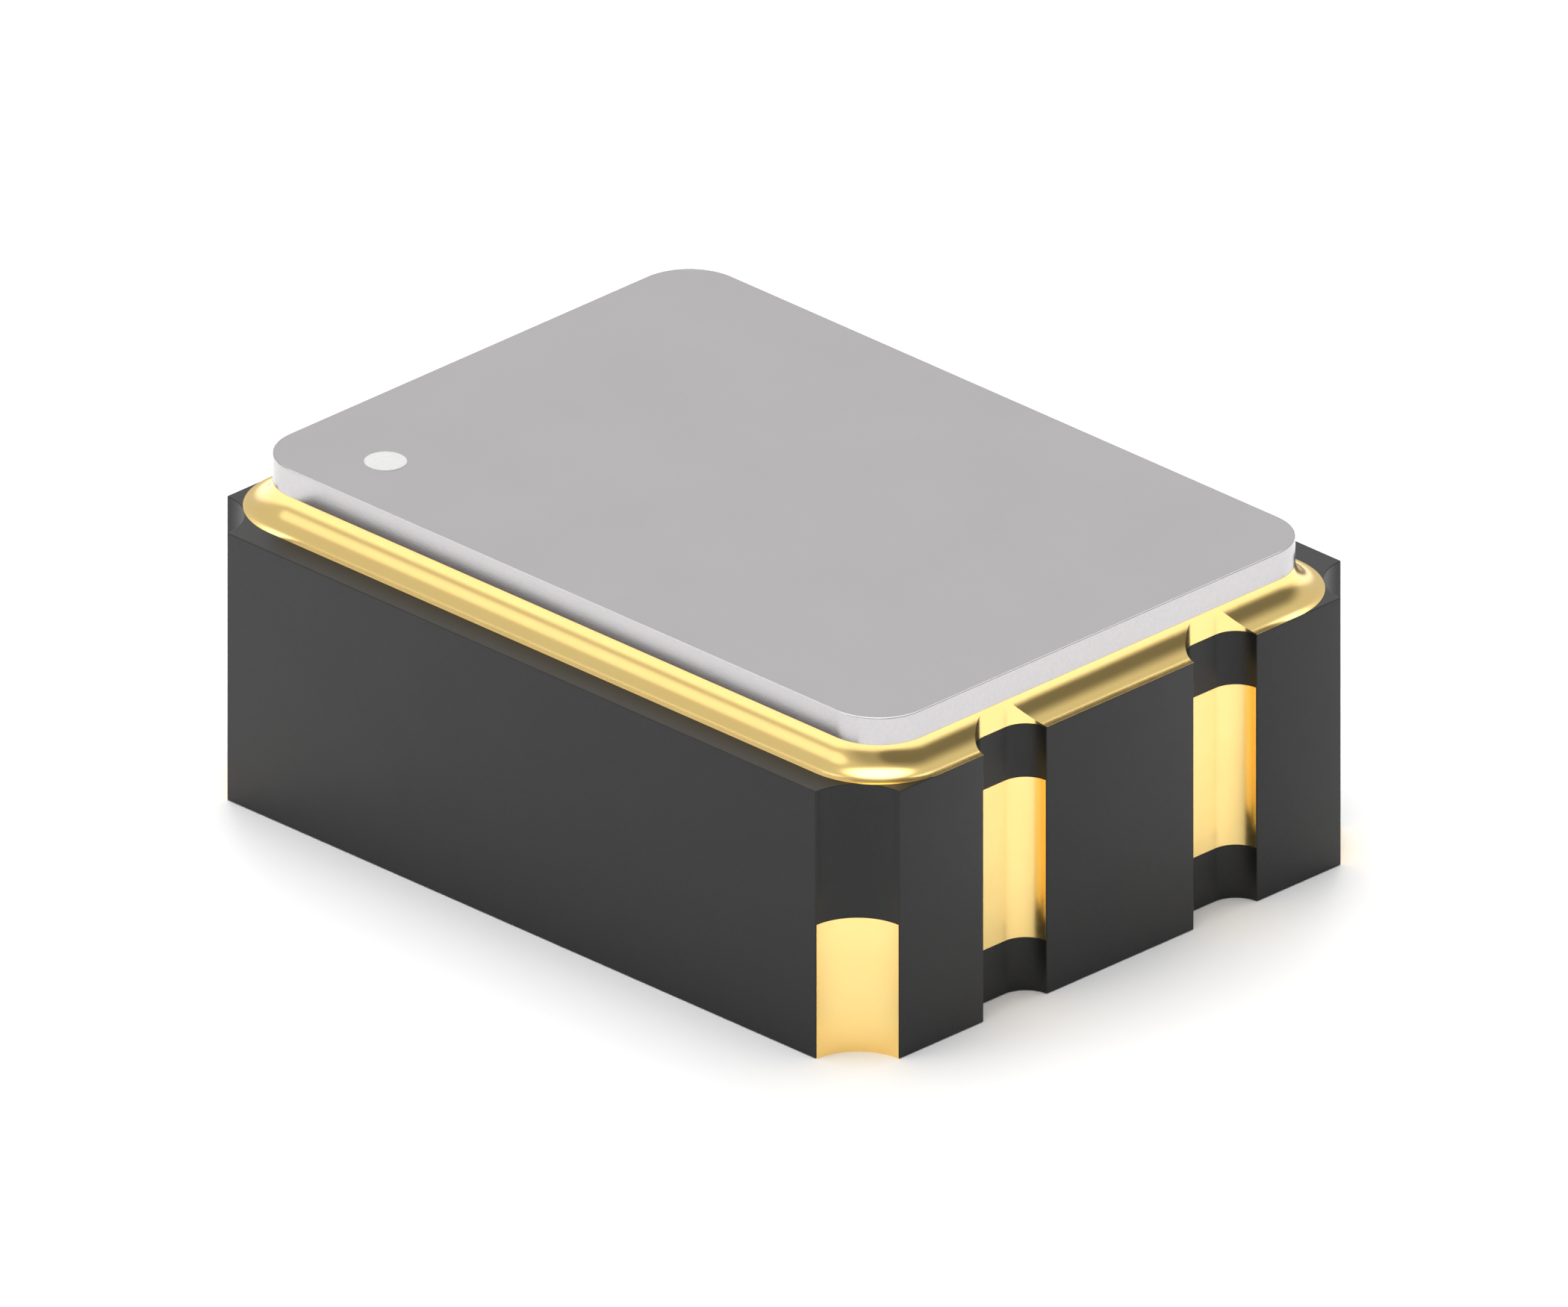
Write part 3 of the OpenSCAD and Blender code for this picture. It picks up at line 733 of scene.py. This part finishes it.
# Finishes of the CAD nodes that stay
CAD_FINISH = {
    "gold_on_fired_metal": ["die_pad"],
    "fired_tungsten": ["seal_metallisation"],
    "cured_resin": ["die_attach_film"],
    "polished_silicon": ["oscillator_die"],
    "evaporated_aluminium": ["die_bond_pads"],
    "drawn_gold_wire": [f"bond_wire_{i}" for i in range(1, 9)],
    "silver_adhesive": ["adhesive_dot_1", "adhesive_dot_2"],
    "evaporated_silver": ["electrode_bottom", "electrode_top"],
    "lapped_quartz": ["quartz_blank"],
    "gold_on_braze": ["seal_ring"],
}
for finish, nodes in CAD_FINISH.items():
    for node in nodes:
        for material_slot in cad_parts[node].material_slots:
            material_slot.material = MATERIALS[finish]


# Studio: a wide pale floor under a sky of soft light

FLOOR_RADIUS = 600

# Colour of the floor to the camera and in reflections: over 1, so that it shows white outside the shadow
SHOWN_WHITE = 1.3

# Strengths of the sky: its walls, what they gain at the horizon and the height where that ends, and the least
WALLS = 0.66
HORIZON = 0.75
HORIZON_TOP = 0.24
DARKEST = 0.19

# Parts of the sky that are lighter or darker than its walls: the way to the middle, the cosines of the angles
# to its rim and to where it has its full strength, and the strength
SKY_PARTS = [
    ("lamp overhead", (0, 0, 1), 0.88, 0.99, 2.6),
    ("lamp at the back, on the left", (-0.46, 0.47, 0.75), 0.955, 1.0, 3.4),
    ("lamp in front, on the left", (-0.5, -0.62, 0.6), 0.935, 0.985, 0.58),
    ("dark screen on the right", (0.94, 0.34, 0), 0.25, 0.75, -0.47),
    ("dark screen in front", (0.65, -0.75, 0.1), 0.4, 0.9, -0.28),
]


def shown(tree):
    """1 for rays from the camera and for those that metal and glass send on, and otherwise 0."""
    path = add(tree, "LightPath")
    return add(tree, "Math", {
        0: add(tree, "Math", {
            0: path.outputs["Is Camera Ray"], 1: path.outputs["Is Glossy Ray"],
        }, operation="MAXIMUM").outputs[0],
        1: path.outputs["Is Transmission Ray"],
    }, operation="MAXIMUM").outputs[0]


def step(tree, value, first, last, low, high):
    """Smooth change from low to high while the value goes from first to last."""
    return add(tree, "MapRange", {
        "Value": value, "From Min": first, "From Max": last, "To Min": low, "To Max": high,
    }, interpolation_type="SMOOTHSTEP").outputs["Result"]


# Floor: matt white paper, which shows as pure white outside the shadow
paper = bpy.data.materials.new("white_paper")
paper.use_nodes = True
tree = paper.node_tree
tree.nodes.clear()
plain = add(tree, "BsdfDiffuse", {"Color": tint(tree, grain(tree, 0.5), "#F4F4F4", "#F6F6F6")})
bright = add(tree, "BsdfDiffuse", {"Color": (SHOWN_WHITE, SHOWN_WHITE, SHOWN_WHITE, 1)})
mixed = add(tree, "MixShader", {0: shown(tree), 1: plain.outputs[0], 2: bright.outputs[0]})
add(tree, "OutputMaterial", {"Surface": mixed.outputs[0]})

floor_mesh = bpy.data.meshes.new("floor")
floor_rim = arc((0, 0), FLOOR_RADIUS, 0, 360, FLOOR_STEPS)[:-1]
floor_mesh.from_pydata((level(floor_rim, BOTTOM - PROUD) * MM).tolist(), [], [list(range(FLOOR_STEPS))])
floor_mesh.materials.append(paper)
floor = bpy.data.objects.new("floor", floor_mesh)
bpy.context.scene.collection.objects.link(floor)

# Sky: pale walls that grow lighter towards the floor, with soft lamps and dark screens
world = bpy.data.worlds.new("studio")
world.use_nodes = True
sky = world.node_tree
sky.nodes.clear()
direction = add(sky, "TexCoord").outputs["Generated"]
height = add(sky, "SeparateXYZ", {"Vector": direction}).outputs["Z"]
light = step(sky, height, 0, HORIZON_TOP, WALLS + HORIZON, WALLS)
for name, way, rim, core, strength in SKY_PARTS:
    middle = Vector(way).normalized()
    facing = add(sky, "VectorMath", {0: direction, 1: middle}, operation="DOT_PRODUCT", label=name)
    part = step(sky, facing.outputs["Value"], rim, core, 0, strength)
    light = add(sky, "Math", {0: light, 1: part}, operation="ADD").outputs[0]
light = add(sky, "Math", {0: light, 1: DARKEST}, operation="MAXIMUM").outputs[0]
studio = add(sky, "Background", {"Color": (1, 1, 1, 1), "Strength": light})
white = add(sky, "Background", {"Color": (1, 1, 1, 1), "Strength": 1.0})
to_camera = add(sky, "LightPath").outputs["Is Camera Ray"]
seen = add(sky, "MixShader", {0: to_camera, 1: studio.outputs[0], 2: white.outputs[0]})
add(sky, "OutputWorld", {"Surface": seen.outputs[0]})
bpy.context.scene.world = world
